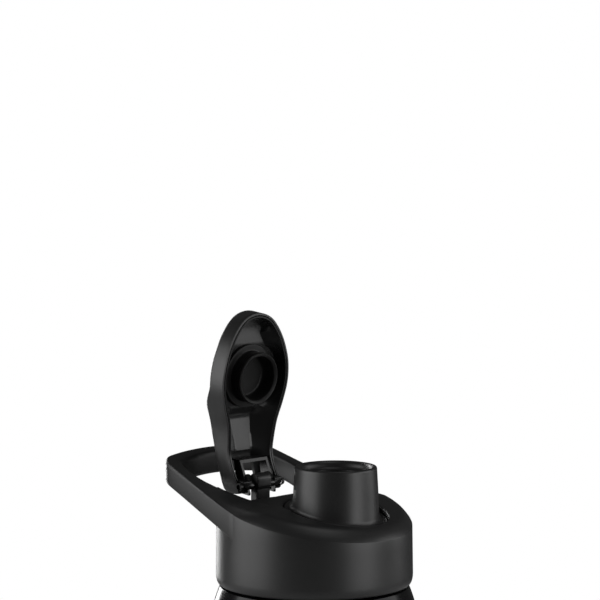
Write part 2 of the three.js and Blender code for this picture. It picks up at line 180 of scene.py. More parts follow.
def boolean(piece, tool, operation):
    makeActive(piece)
    bpy.ops.object.modifier_add(type="BOOLEAN")
    modifier = piece.modifiers[-1]
    modifier.operation = operation
    modifier.solver = "MANIFOLD"
    modifier.object = tool
    bpy.ops.object.modifier_apply(modifier=modifier.name)
    bpy.data.objects.remove(tool)
    return piece


def join(piece, *tools):
    for tool in tools:
        boolean(piece, tool, "UNION")
    return piece


def cut(piece, *tools):
    for tool in tools:
        boolean(piece, tool, "DIFFERENCE")
    return piece


def block(name, low, high, bevel=0.0):
    piece = startPiece(name, bpy.ops.mesh.primitive_cube_add, size=1)
    size = [(h - l) * mm for l, h in zip(low, high)]
    middle = [(l + h) / 2 * mm for l, h in zip(low, high)]
    bpy.ops.transform.resize(value=size, center_override=(0, 0, 0))
    bpy.ops.transform.translate(value=middle)
    if bevel:
        bpy.ops.mesh.bevel(offset=bevel * mm, segments=3, affect="EDGES")
    bpy.ops.object.mode_set(mode="OBJECT")
    return piece


def rod(name, radius, length, place, bevel=0.0, sides=48):  # a bar across the bottle, along X
    addCylinder = bpy.ops.mesh.primitive_cylinder_add
    piece = startPiece(name, addCylinder, vertices=sides, radius=radius * mm, depth=length * mm)
    if bevel:
        bpy.ops.mesh.select_all(action="DESELECT")
        mesh = bmesh.from_edit_mesh(piece.data)
        for edge in mesh.edges:
            if abs(edge.verts[0].co.z - edge.verts[1].co.z) < mm * 0.01:
                edge.select_set(True)
        bmesh.update_edit_mesh(piece.data)
        bpy.ops.mesh.bevel(offset=bevel * mm, segments=3, affect="EDGES")
    selectAll()
    bpy.ops.transform.rotate(value=math.pi / 2, orient_axis="Y", center_override=(0, 0, 0))
    bpy.ops.transform.translate(value=Vector(place) * mm)
    bpy.ops.object.mode_set(mode="OBJECT")
    return piece


def finishPiece(piece, material, body, node, smoothAngle=32):
    makeActive(piece)
    bpy.ops.object.shade_smooth_by_angle(angle=math.radians(smoothAngle))
    piece.data.materials.clear()
    piece.data.materials.append(material)
    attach(piece, body)
    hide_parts(node)
    print("made", piece.name, len(piece.data.polygons), "faces")
    return piece


class Signal:  # a value on a material's board; sums on it add Math nodes
    def __init__(self, board, socket):
        self.board = board
        self.socket = socket

    def __add__(self, other):
        return self.board.maths("ADD", self, other)

    __radd__ = __add__

    def __sub__(self, other):
        return self.board.maths("SUBTRACT", self, other)

    def __rsub__(self, other):
        return self.board.maths("SUBTRACT", other, self)

    def __mul__(self, other):
        return self.board.maths("MULTIPLY", self, other)

    __rmul__ = __mul__


class Board:  # the nodes of one material or world
    def __init__(self, owner):
        owner.use_nodes = True
        self.owner = owner
        self.tree = owner.node_tree
        self.tree.nodes.clear()

    def make(self, kind, settings=None, inputs=None, output=0):
        node = self.tree.nodes.new(kind)
        for setting, value in (settings or {}).items():
            setattr(node, setting, value)
        for socket, value in (inputs or {}).items():
            if isinstance(value, Signal):
                self.tree.links.new(value.socket, node.inputs[socket])
            else:
                node.inputs[socket].default_value = value
        return Signal(self, node.outputs[output]) if node.outputs else node

    def maths(self, operation, first, second):
        return self.make("ShaderNodeMath", {"operation": operation}, {0: first, 1: second})

    def noise(self, scale, detail=3.0, roughness=0.5, place=None):
        inputs = {"Vector": place or self.place, "Scale": scale, "Detail": detail, "Roughness": roughness}
        return self.make("ShaderNodeTexNoise", None, inputs)

    def stretched(self, scale):
        return self.make("ShaderNodeMapping", None, {"Vector": self.place, "Scale": scale})

    def steps(self, value, low, high):  # 0 below low, 1 above high
        inputs = {"Value": value, "From Min": low, "From Max": high}
        return self.make("ShaderNodeMapRange", {"interpolation_type": "SMOOTHSTEP"}, inputs)

    def blend(self, factor, first, second):
        inputs = {0: factor, 6: first, 7: second}
        return self.make("ShaderNodeMix", {"data_type": "RGBA"}, inputs, output=2)

    def bump(self, height, strength, distance):
        inputs = {"Height": height, "Strength": strength, "Distance": distance * mm}
        return self.make("ShaderNodeBump", None, inputs)

    def finish(self, inputs):
        surface = self.make("ShaderNodeBsdfPrincipled", None, inputs)
        self.make("ShaderNodeOutputMaterial", None, {"Surface": surface})
        return self.owner


def materialBoard(name):
    board = Board(bpy.data.materials.new(name))
    board.place = board.make("ShaderNodeTexCoord", output="Object")
    return board


def grey(level, warm=0.0):
    return (level * (1 + warm), level, level * (1 - warm), 1.0)


rubMarks = {"from": 0.56, "to": 0.74, "shade": 1.8}


def mouldedPlastic(name, look):
    # spark-eroded mould grain, slow cloudy change in gloss and faint handling marks
    board = materialBoard(name)
    grain = board.noise(look["grainScale"], 2.0)
    cloud = board.noise(look["cloudScale"], 4.0)
    rubs = board.steps(board.noise(look["rubScale"], 5.0, 0.65), rubMarks["from"], rubMarks["to"])
    colour = board.blend(cloud, grey(look["dark"]), grey(look["light"], -0.01))
    rough = look["roughness"] + look["roughSwing"] * (cloud - 0.5) + look["grainRough"] * (grain - 0.5)
    return board.finish({
        "Base Color": board.blend(rubs * look["rubTint"], colour, grey(look["light"] * rubMarks["shade"])),
        "Roughness": rough - look["rubGloss"] * rubs,
        "Normal": board.bump(grain, look["grainStrength"], look["grainDepth"]),
        "IOR": look["ior"],
        "Specular IOR Level": look["sheen"],
    })


plasticLooks = {
    "casing": {"grainScale": 1900, "cloudScale": 55, "rubScale": 130, "dark": 0.016, "light": 0.021,
               "roughness": 0.40, "roughSwing": 0.06, "grainRough": 0.08, "grainStrength": 0.22,
               "grainDepth": 0.05, "rubTint": 0.12, "rubGloss": 0.03, "ior": 1.5, "sheen": 0.5},
    "inner": {"grainScale": 2400, "cloudScale": 70, "rubScale": 150, "dark": 0.013, "light": 0.017,
              "roughness": 0.25, "roughSwing": 0.05, "grainRough": 0.05, "grainStrength": 0.12,
              "grainDepth": 0.04, "rubTint": 0.08, "rubGloss": 0.03, "ior": 1.5, "sheen": 0.46},
    "vessel": {"grainScale": 900, "cloudScale": 28, "rubScale": 90, "dark": 0.0045, "light": 0.006,
               "roughness": 0.19, "roughSwing": 0.05, "grainRough": 0.02, "grainStrength": 0.03,
               "grainDepth": 0.05, "rubTint": 0.1, "rubGloss": 0.0, "ior": 1.48, "sheen": 0.2},
}


siliconeLook = {"bloomScale": 160, "grainScale": 2200, "dark": 0.010, "light": 0.014, "roughness": 0.38,
                "roughSwing": 0.1, "grainStrength": 0.15, "grainDepth": 0.04, "ior": 1.41, "sheen": 0.32}


def siliconeRubber(name, look):
    board = materialBoard(name)
    bloom = board.noise(look["bloomScale"], 4.0, 0.6)
    grain = board.noise(look["grainScale"], 2.0)
    return board.finish({
        "Base Color": board.blend(bloom, grey(look["dark"]), grey(look["light"])),
        "Roughness": look["roughness"] + look["roughSwing"] * (bloom - 0.5),
        "Normal": board.bump(grain, look["grainStrength"], look["grainDepth"]),
        "IOR": look["ior"],
        "Specular IOR Level": look["sheen"],
    })


steelLooks = {
    "wire": {"lineScale": 900, "lineShape": (0.08, 1, 1), "polishScale": 60, "roughness": 0.24,
             "dark": 0.5, "light": 0.62},
    # the pin's steel is painted near black: painted shade, so its ends show no glint where the cover's heel
    # hides them
    "pin": {"lineScale": 1200, "lineShape": (0.05, 1, 1), "polishScale": 90, "roughness": 0.42,
            "dark": 0.05, "light": 0.08},
}
steelFinish = {"lineRough": 0.12, "polishRough": 0.08, "lineStrength": 0.1, "lineDepth": 0.03}


def drawnSteel(name, look):
    # fine draw lines along the wire and a slow change in polish
    board = materialBoard(name)
    lines = board.noise(look["lineScale"], 3.0, place=board.stretched(look["lineShape"]))
    polish = board.noise(look["polishScale"], 3.0)
    swing = steelFinish["lineRough"] * (lines - 0.5)
    return board.finish({
        "Base Color": board.blend(polish, grey(look["dark"], 0.02), grey(look["light"], 0.01)),
        "Metallic": 1.0,
        "Roughness": look["roughness"] + swing + steelFinish["polishRough"] * (polish - 0.5),
        "Normal": board.bump(lines, steelFinish["lineStrength"], steelFinish["lineDepth"]),
    })


casingBlack = mouldedPlastic("casingBlack", plasticLooks["casing"])
innerBlack = mouldedPlastic("innerBlack", plasticLooks["inner"])
vesselBlack = mouldedPlastic("vesselBlack", plasticLooks["vessel"])
sealBlack = siliconeRubber("sealBlack", siliconeLook)
wireSteel = drawnSteel("wireSteel", steelLooks["wire"])
shadedPinSteel = drawnSteel("shadedPinSteel", steelLooks["pin"])
print("materials ready")


# screw thread, shared by the neck and the liner
thread = {"pitch": 4.0, "turns": 1.5, "depth": 1.2, "start": 4.5, "clearance": 0.6, "foot": 1.1,
          "crest": 0.45, "crestRound": 0.3, "root": 0.5, "runOut": math.pi / 8, "runOutEnd": 0.02,
          "stepsPerTurn": 48}
lidFit = {"casingWall": 1.8, "gap": 0.3, "linerWall": 2.1}  # from the outside of the lid to the thread
neckRadius = (lidHigh.x - lidFit["casingWall"] - lidFit["gap"] - lidFit["linerWall"]
              - thread["clearance"] - thread["depth"])


def threadRidge(name, radius, outward, low):
    sweep = thread["turns"] * 2 * math.pi
    steps = round(thread["turns"] * thread["stepsPerTurn"])
    root, foot, depth, crest = thread["root"], thread["foot"], thread["depth"], thread["crest"]
    fillet, runOut, runOutEnd = thread["crestRound"], thread["runOut"], thread["runOutEnd"]
    section = rounded([(-root, -foot, 0), (depth, -crest, fillet), (depth, crest, fillet), (-root, foot, 0)],
                      steps=2)
    rings = []
    for step in range(steps + 1):
        along = sweep * step / steps
        fade = min(1.0, runOutEnd + along / runOut, runOutEnd + (sweep - along) / runOut)
        rise = sweep - along if outward > 0 else along
        ring = []
        for across, up in section:
            distance = radius + outward * (across * fade if across > 0 else across)
            angle = -outward * along
            height = low + up + thread["pitch"] * rise / (2 * math.pi)
            ring.append((distance * math.cos(angle), distance * math.sin(angle), height))
        rings.append(ring)
    return loft(name, rings, capped=True)


bottle = {"base": 34.5, "wall": 2.2, "floor": 3.0, "corner": 6.0, "kick": 1.6, "kickRadius": 25.0,
          "bulge": 0.8, "bulgeLow": 0.28, "bulgeHigh": 0.62, "shoulder": bodyHigh.x, "shoulderFrom": 22,
          "insideFrom": 24, "cove": lidHigh.x - 1.4, "drop": 1.0, "neckWall": 2.4, "neckRound": 0.6,
          "neckInside": 4, "neckTop": bodyHigh.z, "sides": 180}


def makeBottle():
    base, corner, wall, floor = bottle["base"], bottle["corner"], bottle["wall"], bottle["floor"]
    shoulder, cove, top, fillet = bottle["shoulder"], bottle["cove"], bottle["neckTop"], bottle["neckRound"]
    kick, kickRadius, bulge = bottle["kick"], bottle["kickRadius"], bottle["bulge"]
    low, high = seatZ * bottle["bulgeLow"], seatZ * bottle["bulgeHigh"]
    wallEnd, insideEnd = seatZ - bottle["shoulderFrom"], seatZ - bottle["insideFrom"]
    shoulderZ = seatZ - bottle["drop"]
    coveZ, rimLow = shoulderZ - 0.4, shoulderZ - bottle["neckInside"]
    neck, rim = neckRadius, neckRadius - bottle["neckWall"]
    inside, innerBase = shoulder - wall, base - wall
    profile = [(0, kick), (kickRadius - 3, kick), (kickRadius - 1, kick * 0.8), (kickRadius + 0.6, 0.25),
               (kickRadius + 1.6, 0), (base - corner, 0)]
    profile += bezier((base - corner, 0), (base - corner / 3, 0), (base, corner / 3), (base, corner), 8)
    profile += bezier((base, corner), (base + bulge, low), (shoulder, high), (shoulder, wallEnd), 22)
    profile += bezier((shoulder, wallEnd), (shoulder, seatZ - 12), (cove + 2, seatZ - 6.5),
                      (cove, coveZ), 16)
    profile += rounded([(cove, coveZ, 0), (cove - 0.15, shoulderZ, 0.35), (neck, shoulderZ + 0.4, 0.5),
                        (neck, top, fillet), (rim, top, fillet), (rim, rimLow, 0)])[1:]
    profile += bezier((rim, rimLow), (rim, seatZ - 11), (inside, seatZ - 12), (inside, insideEnd), 10)
    profile += bezier((inside, insideEnd), (inside, high), (innerBase + bulge, low),
                      (innerBase, corner + floor), 14)
    profile += bezier((innerBase, corner + floor), (innerBase, corner), (base - corner, floor),
                      (base - corner - wall, floor), 6)
    profile += [(kickRadius - 3, floor + 0.01), (0, floor + 0.02)]
    body = turned("bottleBody", profile, sides=bottle["sides"])
    join(body, threadRidge("neckThread", neck, 1, seatZ + thread["start"]))
    return finishPiece(body, vesselBlack, "bottle", "bottle_body")


# heights on the lid are above its lower edge
lid = {"radius": lidHigh.x, "draft": 0.3, "wall": lidFit["casingWall"], "roof": 2.2, "footIn": 1.5,
       "footHigh": 4.0, "crease": 0.4, "edge": 29.0, "slope": 0.195, "bend": 0.0036, "bendEnd": 20.0,
       "crown": 4.0, "crownWidth": 5.0, "crownStart": -6.0, "crownEnd": 14.0, "crownLow": 1.0,
       "crownOut": 40.0, "creaseRings": (1.1, 2.2, 3.3, 4.4), "holeRound": 1.5, "holeDrop": 0.8,
       "collar": 4.7, "collarWall": 1.6, "collarRound": 0.3, "sides": 180, "taper": 0.177, "armStart": 6.8,
       "cavity": [(0.0, 14.0), (0.0, 0.5), (0.15, 0.1)], "dishFloor": 28.0, "dishFront": 14.0,
       "dishIn": 1.3, "dishSink": 1.0}
spout = {"y": -11.6, "height": lid["edge"] + 18.5, "radius": 16.2, "foot": 17.0, "wall": 2.3, "bore": 11.35,
         "lip": 14.2, "lipDepth": 3.2, "land": 3.5, "trough": 3.6, "troughDepth": 2.0, "flare": 2.3,
         "wallStart": 3, "topRound": 1.3}


def edgeAt(y):
    behind, bendEnd = max(0.0, y), lid["bendEnd"]
    bent = min(behind, bendEnd)
    return lid["edge"] + lid["slope"] * y + lid["bend"] * (bent * bent + 2 * bendEnd * (behind - bent))


def armX(y):  # outer face of a carry arm
    return lid["radius"] * math.cos(math.atan(lid["taper"])) - lid["taper"] * (y - lid["armStart"])


def crownAt(x, y):
    if y > lid["armStart"]:
        inward = (armX(y) - lid["draft"] - abs(x)) * math.cos(math.atan(lid["taper"]))
    else:
        inward = lid["radius"] - lid["draft"] - math.hypot(x, y)
    share = clamp(inward / lid["crownWidth"])
    back = clamp((y - lid["crownStart"]) / (lid["crownEnd"] - lid["crownStart"]))
    height = lid["crown"] + (lid["crownLow"] - lid["crown"]) * back
    if y > lid["crownEnd"]:
        height *= max(0.0, 1 - (y - lid["crownEnd"]) / (lid["crownOut"] - lid["crownEnd"]))
    return height * math.sin(share * math.pi / 2)


def deckAt(x, y):
    return edgeAt(y) + crownAt(x, y)


def lidSkin():  # skirt, deck and the rim round the spout as one closed shell
    sides = lid["sides"]
    outer, top, crease = lid["radius"], lid["radius"] - lid["draft"], lid["crease"]
    foot, high = lid["footIn"], lid["footHigh"]

    def ringAt(radius, height):
        return circle(radius, height, 0.0, sides, seatZ)

    rings = [ringAt(outer - foot, 0.0)]
    for sine, cosine in quarterTurn(6)[1:]:
        rings.append(ringAt(outer - foot + foot * sine, high * (1 - cosine)))
    for share in (0.25, 0.5, 0.75, 1.0):
        rings.append(ringAt(outer - lid["draft"] * share,
                            lambda x, y: high + share * (edgeAt(y) - crease - high)))
    for t in (0.2, 0.4, 0.6, 0.8, 1.0):
        rings.append(ringAt(top - crease * t * t,
                            lambda x, y: edgeAt(y) - crease * (1 - t) ** 2 + t * t * crownAt(x, y)))
    hole = spout["foot"] + spout["trough"]
    deckStart = circle(top - crease, 0.0, 0.0, sides)
    deckEnd = circle(hole + lid["holeRound"], 0.0, spout["y"], sides)

    def deckRing(distance, share, height):  # so far in from the crease, then a share of what is left
        ring = []
        for start, end in zip(deckStart, deckEnd):
            start, end = Vector(start), Vector(end)
            length = (end - start).length
            near = min(distance / length, 0.9)
            point = start.lerp(end, near + (1 - near) * share)
            ring.append((point.x, point.y, seatZ + height(point.x, point.y)))
        return ring

    for distance in lid["creaseRings"]:
        rings.append(deckRing(distance, 0.0, deckAt))
    for share in (0.2, 0.4, 0.6, 0.8, 1.0):
        rings.append(deckRing(lid["creaseRings"][-1], share, deckAt))

    def holeRing(radius, drop):
        return circle(radius, lambda x, y: deckAt(x, y) - drop, spout["y"], sides, seatZ)

    for t in (0.25, 0.5, 0.75, 1.0):
        rings.append(holeRing(hole + lid["holeRound"] * (1 - t) ** 2, lid["holeDrop"] * t * t))
    deep, thick, fillet = lid["collar"], lid["collarWall"], lid["collarRound"]
    for outward, drop in ((0.0, deep - fillet), (fillet, deep), (thick - fillet, deep),
                          (thick, deep - fillet), (thick, lid["roof"])):
        rings.append(holeRing(hole + outward, drop))
    cavity = outer - lid["wall"]
    inner = circle(cavity, 0.0, 0.0, sides)
    last = [(x, y) for x, y, z in rings[-1]]
    for share in (0.3, 0.6, 0.8, 0.92, 1.0):
        ring = []
        for (x0, y0), (x1, y1, z1) in zip(last, inner):
            x, y = x0 + (x1 - x0) * share, y0 + (y1 - y0) * share
            roof = min(deckAt(x, y), deckAt(x * 0.96, y * 0.96)) - lid["roof"]
            ring.append((x, y, seatZ + roof))
        rings.append(ring)
    rings += [ringAt(cavity + outward, height) for outward, height in lid["cavity"]]
    return loft("lidShell", rings, closed=True)


# carry loop: its hand hole is given as half widths along the lid
loop = {"end": 61.0, "bow": 4.0, "corner": 6.0, "bar": 4.8, "underY": 12.75, "under": lid["edge"] - 6.5,
        "underSlope": 0.34, "hole": [(21.3, 14), (23, 18.7), (25, 25.2), (26.2, 34), (26.2, 42)],
        "holeCorner": 4.0, "roundNear": 0.45, "roundFar": 1.7, "roundFrom": 14.0, "roundOver": 30.0,
        "inset": -0.03, "root": 4.0, "rootIn": 0.6, "start": 7.5, "crownPoints": (1.9, 3.1, 4.3),
        "armSteps": 14, "cornerSteps": 7, "endSteps": 8}


def holeX(y):  # inner face of a carry arm
    points = loop["hole"]
    if y <= points[0][1]:
        return points[0][0]
    for (x0, y0), (x1, y1) in zip(points, points[1:]):
        if y <= y1:
            return x0 + (x1 - x0) * (y - y0) / (y1 - y0)
    return points[-1][0]


def quadratic(start, corner, end, t):
    return tuple(a * (1 - t) ** 2 + b * 2 * t * (1 - t) + c * t * t for a, b, c in zip(start, corner, end))


def loopStations():  # (outer point, inner point) pairs down one arm and to the middle of the end bar
    end, bow, corner, bar = loop["end"], loop["bow"], loop["corner"], loop["bar"]
    root, start, holeCorner = loop["root"], loop["start"], loop["holeCorner"]
    cornerY = end - bow
    innerEnd = end - bar
    holeSide, holeStraight = loop["hole"][-1]
    innerX = min(holeSide, armX(innerEnd) - bar)
    armEnd = cornerY - corner
    holeEnd = innerEnd - bow - holeCorner
    pairs = [((armX(root) - loop["rootIn"], root), (holeX(root), root))]
    for step in range(loop["armSteps"] + 1):
        y = start + (armEnd - start) * step / loop["armSteps"]
        innerY = start + (holeEnd - start) * step / loop["armSteps"]
        blend = max(0.0, (innerY - holeStraight) / (holeEnd - holeStraight))
        pairs.append(((armX(y), y), (holeX(innerY) * (1 - blend) + innerX * blend, innerY)))
    barStart = (armX(cornerY) - corner, cornerY + bow * 0.35)
    holeStart = (innerX - holeCorner, innerEnd - bow * 0.8)
    for step in range(1, loop["cornerSteps"] + 1):
        t = step / loop["cornerSteps"]
        outer = quadratic((armX(armEnd), armEnd), (armX(cornerY), cornerY), barStart, t)
        inner = quadratic((innerX, holeEnd), (innerX, innerEnd - bow), holeStart, t)
        pairs.append((outer, inner))
    for step in range(1, loop["endSteps"] + 1):
        t = step / (2 * loop["endSteps"])
        outer = quadratic(barStart, (0, end + bow * 0.75), (-barStart[0], barStart[1]), t)
        inner = quadratic(holeStart, (0, innerEnd + bow * 0.8), (-holeStart[0], holeStart[1]), t)
        pairs.append((outer, inner))
    return pairs


def loopSection(outer, inner, side):
    outer, inner = Vector(outer), Vector(inner)
    width = (outer - inner).length
    across = (outer - inner) / width

    def under(point):
        return loop["under"] + loop["underSlope"] * (point.y - loop["underY"])

    def above(point):
        return deckAt(point.x, point.y) - loop["inset"]

    share = clamp((outer.y - loop["roundFrom"]) / loop["roundOver"])
    fillet = loop["roundNear"] + (loop["roundFar"] - loop["roundNear"]) * share
    draft = lid["draft"] * (1 - share)
    edge = edgeAt(outer.y) - loop["inset"]
    profile = [(0.0, under(inner), fillet), (width - draft * 0.6, under(outer), fillet * 0.8)]
    profile += [(width - draft, edge, fillet)]
    for inward in loop["crownPoints"]:
        at = outer - across * min(inward, width * 0.6)
        profile.append(((at - inner).length, above(at), 0))
    profile.append((0.0, above(inner), fillet))
    ring = []
    for distance, height in rounded(profile):
        point = inner + across * distance
        ring.append((side * point.x, point.y, seatZ + height))
    return ring


def carryLoop():
    stations = loopStations()
    rings = [loopSection(outer, inner, 1) for outer, inner in stations]
    rings += [loopSection(outer, inner, -1) for outer, inner in reversed(stations[:-1])]
    return loft("carryLoop", rings, capped=True)


def dishTool():  # the recess round the hinge, in the plan of the hand hole
    front = lid["dishFront"]
    right = [(holeX(y), y) for y in (front, 16.0, 18.7, 22.0, 25.2, 30.0, 36.0, 42.0)]
    plan = right + [(-x, y) for x, y in reversed(right)]
    rings = []
    for inset, height in ((0.9, 0.0), (0.35, 0.25), (0.0, 0.9), (0.0, 60.0)):
        ring = []
        for x, y in plan:
            inner = y + inset if y == front else y
            ring.append((x - math.copysign(inset, x), inner, seatZ + lid["dishFloor"] + height))
        rings.append(ring)
    return loft("dishTool", rings, capped=True)


def dishFiller():  # floor and front wall of the recess
    radius = lid["radius"] - lid["dishIn"]
    start = lid["dishFront"] - lid["wall"]
    low = lid["dishFloor"] - lid["wall"]
    half = math.acos(start / radius)
    steps = 32
    arc = []
    for step in range(steps + 1):
        angle = math.pi / 2 - half + 2 * half * step / steps
        arc.append((radius * math.cos(angle), radius * math.sin(angle)))

    def ceiling(share):  # the arc drawn in towards the front wall, just under the deck
        ring = []
        for x, y in arc:
            px, py = x * share, start + (y - start) * share
            ring.append((px, py, seatZ + deckAt(px, py) - lid["dishSink"]))
        return ring

    bottom = [(x, y, seatZ + low) for x, y in arc]
    return loft("dishFiller", [bottom] + [ceiling(share) for share in (1.0, 0.97, 0.6, 0.2)], capped=True)


knuckle = {"radius": 2.5, "length": 7.9, "rise": 2.2, "width": 7.6, "thickness": 3.6, "sink": 0.5,
           "stemRound": 0.4, "hole": 1.1, "round": 0.5, "sides": 48}


def pinTool(length, place=(0, 0, 0)):
    return rod("pinTool", knuckle["hole"], length, place)


def hingeKnuckle():  # a rounded tongue on a flat stem
    half, fillet, sides = knuckle["length"] / 2, knuckle["round"], knuckle["sides"]

    def outline(x, inset):
        radius = knuckle["radius"] - inset
        ring = []
        for step in range(sides):
            angle = 2 * math.pi * step / sides
            lift = knuckle["rise"] if math.sin(angle) > 0 or step in (0, sides // 2) else 0.0
            ring.append((x, hingeY + radius * math.cos(angle), hingeZ + lift + radius * math.sin(angle)))
        ring.insert(sides // 2 + 1, (x, hingeY - radius, hingeZ))
        ring.append((x, hingeY + radius, hingeZ))
        return ring

    stations = [(half - fillet * (1 - sine), fillet * (1 - cosine)) for sine, cosine in quarterTurn(4)]
    rings = [outline(x, inset) for x, inset in reversed(stations)]
    rings += [outline(-x, inset) for x, inset in stations]
    return loft("knuckle", rings, capped=True)


def makeLidShell():
    shell = lidSkin()
    join(shell, dishFiller())
    cut(shell, dishTool())
    join(shell, carryLoop())
    half = knuckle["width"] / 2
    thick = knuckle["thickness"] / 2
    low = seatZ + lid["dishFloor"] - knuckle["sink"]
    tongue = hingeKnuckle()
    join(tongue, block("stem", (-half, hingeY - thick, low), (half, hingeY + thick, hingeZ),
                       knuckle["stemRound"]))
    cut(tongue, pinTool(30, (0, hingeY, hingeZ)))
    join(shell, tongue)
    return finishPiece(shell, casingBlack, "lid", "lid_shell")


# liner, which carries the drinking spout
liner = {"thick": 2.0, "footLift": 1.2, "neckHeight": 14.5, "gasket": 1.6, "step": 0.4, "sides": 144}


def makeLiner():
    sides = liner["sides"]
    outside = lid["radius"] - lid["wall"] - lidFit["gap"]
    root = neckRadius + thread["depth"] + thread["clearance"]
    depth = liner["neckHeight"] + liner["gasket"] + 2 * lidFit["gap"]
    plate, foot, step = depth + liner["thick"], liner["footLift"], liner["step"]
    collar = spout["foot"] + spout["trough"] - lidFit["gap"]
    collarTop = edgeAt(spout["y"]) + lid["crown"] - spout["troughDepth"]
    tall, radius, lip, bore = spout["height"], spout["radius"], spout["lip"], spout["bore"]
    landTop = tall - spout["lipDepth"]
    landLow = landTop - spout["land"]
    inside = spout["foot"] - spout["wall"]

    def cup(points):
        return [circle(around, height, 0.0, sides, seatZ) for around, height in points]

    def spoutRings(points, tilt=0.0):
        return [circle(around, lambda x, y: height + tilt * (y - spout["y"]), spout["y"], sides, seatZ)
                for around, height in points]

    rings = cup(rounded([(root, foot, 0.5), (outside, foot, 0.8), (outside, plate, 0.5),
                         (outside - 1, plate, 0)], steps=3))
    rings += spoutRings([(collar + step, plate), (collar, plate + step)])
    rings += spoutRings(rounded([(collar, collarTop - 3, 0), (collar, collarTop, 0.5),
                                 (collar - 0.9, collarTop, 0)], steps=3), lid["slope"])
    flare = spout["flare"]
    rings += spoutRings([(spout["foot"] + flare * (1 - sine), collarTop + flare * (1 - cosine))
                         for sine, cosine in quarterTurn(8)], lid["slope"])
    wallStart, wallTop = collarTop + spout["wallStart"], tall - spout["topRound"]
    for share in (0.4, 0.7, 1.0):
        rings += spoutRings([(spout["foot"] + (radius - spout["foot"]) * share,
                              wallStart + (wallTop - collarTop - spout["wallStart"]) * share)])
    crest, lipFoot, landEdge = (radius - 0.95, tall), (lip - 0.85, landTop + 1.3), (bore + 0.5, landTop)
    rings += spoutRings(bezier((radius, wallTop), (radius, tall - 0.35), (radius - 0.3, tall), crest, 6))
    rings += spoutRings(bezier(crest, (radius - 1.7, tall), (lip - 0.5, tall - 0.5), lipFoot, 6))
    rings += spoutRings(bezier(lipFoot, (lip - 1.1, landTop + 0.5), (bore + 1.2, landTop + 0.1),
                               landEdge, 5))
    rings += spoutRings(rounded([(*landEdge, 0), (bore, landTop, 0.4), (bore, landLow, 0.5),
                                 (inside - 0.5, landLow - 3.5, 1.0), (inside, depth, 0.5),
                                 (inside + 1.0, depth, 0)], steps=3)[1:])
    rings += cup([(root - 0.5, depth), (root, depth - 0.5)])
    body = loft("lidLiner", rings, closed=True)
    inStep = (thread["turns"] - 0.5) % 1  # the liner's thread lies between the turns of the neck's
    join(body, threadRidge("linerThread", root, -1, seatZ + thread["start"] + thread["pitch"] * inStep))
    return finishPiece(body, casingBlack, "lid", "lid_liner")


gasket = {"width": 3.6, "round": 0.45, "dish": 0.12, "dishRound": 0.2, "underLip": 1.1, "overLip": 1.2}


def makeGasket():
    low, high = corners("lid_gasket")
    outer, bead, soft = high.x, gasket["round"], gasket["dishRound"]
    inner = outer - gasket["width"]
    under, over = low.z + gasket["dish"], high.z - gasket["dish"]
    underLip, overLip = gasket["underLip"], gasket["overLip"]
    profile = rounded([(inner, low.z, bead), (inner + underLip, under, soft),
                       (outer - underLip, under, soft), (outer, low.z, bead), (outer, high.z, bead),
                       (outer - overLip, over, soft), (inner + overLip, over, soft),
                       (inner, high.z, bead)])
    made = turned("lidGasket", profile, closed=True)
    return finishPiece(made, sealBlack, "gasket", "lid_gasket")


# the flip cap is modelled shut about its pin, as across, along and up, then swung open
cap = {"wall": 0.9, "gap": 0.3, "boss": 1.6, "plugAlong": 42.3, "bowl": 18.4,
       "neck": [(12.4, 0), (12.6, 7), (13.0, 15), (14.1, 23.5)],
       "bowlSide": [(0.9, -0.61), (0.995, -0.23), (1.005, 0.12), (0.924, 0.53), (0.728, 0.96),
                    (0.413, 1.31)],
       "tip": 1.43, "heel": -4.8, "heelCorner": 4.5, "heelFront": -2.8, "heelSlant": 0.25, "sideSteps": 64,
       "rimHeight": 7.2, "rimStart": -1.0, "rimEnd": 14.0, "rimBend": 48.0, "rimTip": 8.6,
       "topHeight": 18.5, "topHeel": 8.3, "topEnd": 30.0, "topLow": 15.4, "topLowFrom": 40.0,
       "tipFrom": 54, "tipLift": 1.1}
flipSide = cap["neck"] + [(v * cap["bowl"], cap["plugAlong"] + u * cap["bowl"]) for v, u in cap["bowlSide"]]
flipLength = cap["plugAlong"] + cap["tip"] * cap["bowl"]
squeezes = (0.86, 0.68, 0.5, 0.32, 0.14, 0.0)


def rimAt(u):
    rise = clamp((u - cap["rimStart"]) / (cap["rimEnd"] - cap["rimStart"]))
    lift = max(0.0, (u - cap["rimBend"]) / (flipLength - cap["rimBend"]))
    return cap["rimHeight"] * math.sin(rise * math.pi / 2) + (cap["rimTip"] - cap["rimHeight"]) * lift


def rimPlus(lift):  # so far above the cap's rim
    return lambda u, k: rimAt(u) + lift


def topAt(u):
    rise = clamp((u - cap["heel"]) / (cap["topEnd"] - cap["heel"]))
    fall = clamp((u - cap["topEnd"]) / (cap["topLowFrom"] - cap["topEnd"]))
    gained = (cap["topHeight"] - cap["topHeel"]) * math.sin(rise * math.pi / 2)
    lift = cap["tipLift"] * max(0.0, (u - cap["tipFrom"]) / (flipLength - cap["tipFrom"]))
    return cap["topHeel"] + gained - (cap["topHeight"] - cap["topLow"]) * fall * fall * (3 - 2 * fall) + lift


